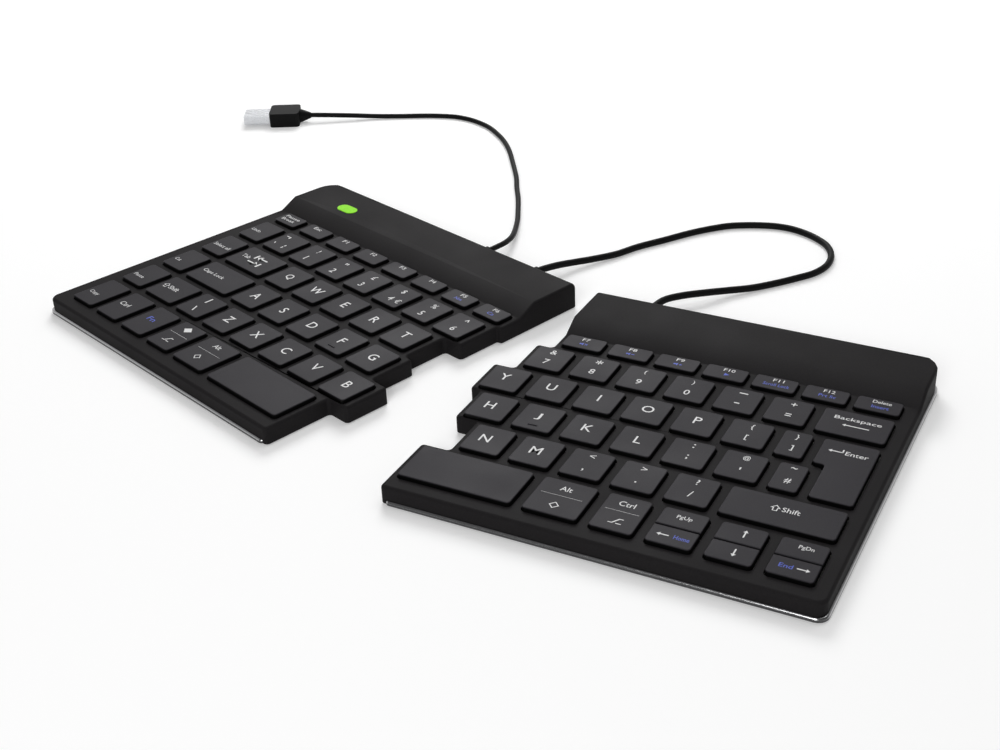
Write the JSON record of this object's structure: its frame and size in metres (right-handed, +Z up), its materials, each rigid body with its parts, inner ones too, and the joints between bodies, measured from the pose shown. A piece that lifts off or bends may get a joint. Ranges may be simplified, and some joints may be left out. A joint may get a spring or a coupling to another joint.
{
  "type": "split keyboard",
  "caption": "Low split keyboard in two stepped halves with flat scissor keys, a raised rear bar on each half, a link cable between them and a host cable with its plug.",
  "frame": {"origin": "on the desk, in the middle of the box round both halves without the cables", "axes": "+X from the left half to the right half, +Y to the rear, +Z up"},
  "size_m": [0.4558, 0.304, 0.012],
  "materials": {
    "case": "fine matt grain",
    "keys": "matt, soft touch",
    "base": "satin, bright edge",
    "steel": "plated",
    "film": "plain moulded",
    "rubber": "matt",
    "board": "lacquered board",
    "light": "lit lens",
    "cable": "satin sheath"
  },
  "bodies": {
    "left_half": {"left_top_case": "case", "left_base_plate": "base", "left_switch_plate": "steel", "left_membrane": "film", "left_domes": "rubber", "left_scissors": "film", "left_main_board": "board", "left_feet": "rubber", "left_screws": "steel", "status_light": "light", "usb_gland": "rubber", "left_link_gland": "rubber", "usb_cable": "cable", "usb_plug_body": "cable", "usb_plug_shell": "steel", "usb_plug_tongue": "film"},
    "link_lead": {"link_cable": "cable"},
    "right_half": {"right_top_case": "case", "right_base_plate": "base", "right_switch_plate": "steel", "right_membrane": "film", "right_domes": "rubber", "right_scissors": "film", "right_board": "board", "right_feet": "rubber", "right_screws": "steel", "right_link_gland": "rubber"},
    "left_function_keys": {"left_function_keys": "keys"},
    "left_number_keys": {"left_number_keys": "keys"},
    "left_upper_keys": {"left_upper_keys": "keys"},
    "left_home_keys": {"left_home_keys": "keys"},
    "left_lower_keys": {"left_lower_keys": "keys"},
    "left_shortcut_keys": {"left_shortcut_keys": "keys"},
    "esc_key": {"esc_key": "keys"},
    "tab_key": {"tab_key": "keys"},
    "caps_lock_key": {"caps_lock_key": "keys"},
    "left_shift_key": {"left_shift_key": "keys"},
    "left_ctrl_key": {"left_ctrl_key": "keys"},
    "fn_key": {"fn_key": "keys"},
    "meta_key": {"meta_key": "keys"},
    "left_alt_key": {"left_alt_key": "keys"},
    "left_space_key": {"left_space_key": "keys"},
    "right_function_keys": {"right_function_keys": "keys"},
    "right_number_keys": {"right_number_keys": "keys"},
    "right_upper_keys": {"right_upper_keys": "keys"},
    "right_home_keys": {"right_home_keys": "keys"},
    "right_lower_keys": {"right_lower_keys": "keys"},
    "delete_key": {"delete_key": "keys"},
    "backspace_key": {"backspace_key": "keys"},
    "enter_key": {"enter_key": "keys"},
    "right_shift_key": {"right_shift_key": "keys"},
    "right_space_key": {"right_space_key": "keys"},
    "right_alt_key": {"right_alt_key": "keys"},
    "right_ctrl_key": {"right_ctrl_key": "keys"},
    "page_up_key": {"page_up_key": "keys"},
    "arrow_left_key": {"arrow_left_key": "keys"},
    "arrow_up_key": {"arrow_up_key": "keys"},
    "arrow_down_key": {"arrow_down_key": "keys"},
    "page_down_key": {"page_down_key": "keys"},
    "arrow_right_key": {"arrow_right_key": "keys"}
  },
  "joints": [
    {"name": "halves_spread", "type": "slide", "parent": "left_half", "child": "link_lead", "axis": [1, 0, 0], "range_m": [0, 0.1], "deforming": ["link_cable"]},
    {"name": "halves_splay", "type": "hinge", "parent": "link_lead", "child": "right_half", "pos_m": [0.03671, 0.0718, 0.0055], "axis": [0, 0, 1], "range_deg": [-12, 20], "deforming": ["link_cable"]},
    {"name": "left_function_row_press", "type": "slide", "parent": "left_half", "child": "left_function_keys", "axis": [0, 0, -1], "range_m": [0, 0.0016], "stiffness_N_per_m": 350, "springref_m": -0.0006, "deforming": ["left_domes", "left_scissors"]},
    {"name": "left_number_row_press", "type": "slide", "parent": "left_half", "child": "left_number_keys", "axis": [0, 0, -1], "range_m": [0, 0.0016], "stiffness_N_per_m": 350, "springref_m": -0.0006, "deforming": ["left_domes", "left_scissors"]},
    {"name": "left_upper_row_press", "type": "slide", "parent": "left_half", "child": "left_upper_keys", "axis": [0, 0, -1], "range_m": [0, 0.0016], "stiffness_N_per_m": 350, "springref_m": -0.0006, "deforming": ["left_domes", "left_scissors"]},
    {"name": "left_home_row_press", "type": "slide", "parent": "left_half", "child": "left_home_keys", "axis": [0, 0, -1], "range_m": [0, 0.0016], "stiffness_N_per_m": 350, "springref_m": -0.0006, "deforming": ["left_domes", "left_scissors"]},
    {"name": "left_lower_row_press", "type": "slide", "parent": "left_half", "child": "left_lower_keys", "axis": [0, 0, -1], "range_m": [0, 0.0016], "stiffness_N_per_m": 350, "springref_m": -0.0006, "deforming": ["left_domes", "left_scissors"]},
    {"name": "left_shortcut_row_press", "type": "slide", "parent": "left_half", "child": "left_shortcut_keys", "axis": [0, 0, -1], "range_m": [0, 0.0016], "stiffness_N_per_m": 350, "springref_m": -0.0006, "deforming": ["left_domes", "left_scissors"]},
    {"name": "esc_press", "type": "slide", "parent": "left_half", "child": "esc_key", "axis": [0, 0, -1], "range_m": [0, 0.0016], "stiffness_N_per_m": 350, "springref_m": -0.0006, "deforming": ["left_domes", "left_scissors"]},
    {"name": "tab_press", "type": "slide", "parent": "left_half", "child": "tab_key", "axis": [0, 0, -1], "range_m": [0, 0.0016], "stiffness_N_per_m": 350, "springref_m": -0.0006, "deforming": ["left_domes", "left_scissors"]},
    {"name": "caps_lock_press", "type": "slide", "parent": "left_half", "child": "caps_lock_key", "axis": [0, 0, -1], "range_m": [0, 0.0016], "stiffness_N_per_m": 350, "springref_m": -0.0006, "deforming": ["left_domes", "left_scissors"]},
    {"name": "left_shift_press", "type": "slide", "parent": "left_half", "child": "left_shift_key", "axis": [0, 0, -1], "range_m": [0, 0.0016], "stiffness_N_per_m": 350, "springref_m": -0.0006, "deforming": ["left_domes", "left_scissors"]},
    {"name": "left_ctrl_press", "type": "slide", "parent": "left_half", "child": "left_ctrl_key", "axis": [0, 0, -1], "range_m": [0, 0.0016], "stiffness_N_per_m": 350, "springref_m": -0.0006, "deforming": ["left_domes", "left_scissors"]},
    {"name": "fn_press", "type": "slide", "parent": "left_half", "child": "fn_key", "axis": [0, 0, -1], "range_m": [0, 0.0016], "stiffness_N_per_m": 350, "springref_m": -0.0006, "deforming": ["left_domes", "left_scissors"]},
    {"name": "meta_press", "type": "slide", "parent": "left_half", "child": "meta_key", "axis": [0, 0, -1], "range_m": [0, 0.0016], "stiffness_N_per_m": 350, "springref_m": -0.0006, "deforming": ["left_domes", "left_scissors"]},
    {"name": "left_alt_press", "type": "slide", "parent": "left_half", "child": "left_alt_key", "axis": [0, 0, -1], "range_m": [0, 0.0016], "stiffness_N_per_m": 350, "springref_m": -0.0006, "deforming": ["left_domes", "left_scissors"]},
    {"name": "left_space_press", "type": "slide", "parent": "left_half", "child": "left_space_key", "axis": [0, 0, -1], "range_m": [0, 0.0016], "stiffness_N_per_m": 350, "springref_m": -0.0006, "deforming": ["left_domes", "left_scissors"]},
    {"name": "right_function_row_press", "type": "slide", "parent": "right_half", "child": "right_function_keys", "axis": [0, 0, -1], "range_m": [0, 0.0016], "stiffness_N_per_m": 350, "springref_m": -0.0006, "deforming": ["right_domes", "right_scissors"]},
    {"name": "right_number_row_press", "type": "slide", "parent": "right_half", "child": "right_number_keys", "axis": [0, 0, -1], "range_m": [0, 0.0016], "stiffness_N_per_m": 350, "springref_m": -0.0006, "deforming": ["right_domes", "right_scissors"]},
    {"name": "right_upper_row_press", "type": "slide", "parent": "right_half", "child": "right_upper_keys", "axis": [0, 0, -1], "range_m": [0, 0.0016], "stiffness_N_per_m": 350, "springref_m": -0.0006, "deforming": ["right_domes", "right_scissors"]},
    {"name": "right_home_row_press", "type": "slide", "parent": "right_half", "child": "right_home_keys", "axis": [0, 0, -1], "range_m": [0, 0.0016], "stiffness_N_per_m": 350, "springref_m": -0.0006, "deforming": ["right_domes", "right_scissors"]},
    {"name": "right_lower_row_press", "type": "slide", "parent": "right_half", "child": "right_lower_keys", "axis": [0, 0, -1], "range_m": [0, 0.0016], "stiffness_N_per_m": 350, "springref_m": -0.0006, "deforming": ["right_domes", "right_scissors"]},
    {"name": "delete_press", "type": "slide", "parent": "right_half", "child": "delete_key", "axis": [0, 0, -1], "range_m": [0, 0.0016], "stiffness_N_per_m": 350, "springref_m": -0.0006, "deforming": ["right_domes", "right_scissors"]},
    {"name": "backspace_press", "type": "slide", "parent": "right_half", "child": "backspace_key", "axis": [0, 0, -1], "range_m": [0, 0.0016], "stiffness_N_per_m": 350, "springref_m": -0.0006, "deforming": ["right_domes", "right_scissors"]},
    {"name": "enter_press", "type": "slide", "parent": "right_half", "child": "enter_key", "axis": [0, 0, -1], "range_m": [0, 0.0016], "stiffness_N_per_m": 350, "springref_m": -0.0006, "deforming": ["right_domes", "right_scissors"]},
    {"name": "right_shift_press", "type": "slide", "parent": "right_half", "child": "right_shift_key", "axis": [0, 0, -1], "range_m": [0, 0.0016], "stiffness_N_per_m": 350, "springref_m": -0.0006, "deforming": ["right_domes", "right_scissors"]},
    {"name": "right_space_press", "type": "slide", "parent": "right_half", "child": "right_space_key", "axis": [0, 0, -1], "range_m": [0, 0.0016], "stiffness_N_per_m": 350, "springref_m": -0.0006, "deforming": ["right_domes", "right_scissors"]},
    {"name": "right_alt_press", "type": "slide", "parent": "right_half", "child": "right_alt_key", "axis": [0, 0, -1], "range_m": [0, 0.0016], "stiffness_N_per_m": 350, "springref_m": -0.0006, "deforming": ["right_domes", "right_scissors"]},
    {"name": "right_ctrl_press", "type": "slide", "parent": "right_half", "child": "right_ctrl_key", "axis": [0, 0, -1], "range_m": [0, 0.0016], "stiffness_N_per_m": 350, "springref_m": -0.0006, "deforming": ["right_domes", "right_scissors"]},
    {"name": "page_up_press", "type": "slide", "parent": "right_half", "child": "page_up_key", "axis": [0, 0, -1], "range_m": [0, 0.0016], "stiffness_N_per_m": 350, "springref_m": -0.0006, "deforming": ["right_domes", "right_scissors"]},
    {"name": "arrow_left_press", "type": "slide", "parent": "right_half", "child": "arrow_left_key", "axis": [0, 0, -1], "range_m": [0, 0.0016], "stiffness_N_per_m": 350, "springref_m": -0.0006, "deforming": ["right_domes", "right_scissors"]},
    {"name": "arrow_up_press", "type": "slide", "parent": "right_half", "child": "arrow_up_key", "axis": [0, 0, -1], "range_m": [0, 0.0016], "stiffness_N_per_m": 350, "springref_m": -0.0006, "deforming": ["right_domes", "right_scissors"]},
    {"name": "arrow_down_press", "type": "slide", "parent": "right_half", "child": "arrow_down_key", "axis": [0, 0, -1], "range_m": [0, 0.0016], "stiffness_N_per_m": 350, "springref_m": -0.0006, "deforming": ["right_domes", "right_scissors"]},
    {"name": "page_down_press", "type": "slide", "parent": "right_half", "child": "page_down_key", "axis": [0, 0, -1], "range_m": [0, 0.0016], "stiffness_N_per_m": 350, "springref_m": -0.0006, "deforming": ["right_domes", "right_scissors"]},
    {"name": "arrow_right_press", "type": "slide", "parent": "right_half", "child": "arrow_right_key", "axis": [0, 0, -1], "range_m": [0, 0.0016], "stiffness_N_per_m": 350, "springref_m": -0.0006, "deforming": ["right_domes", "right_scissors"]}
  ]
}
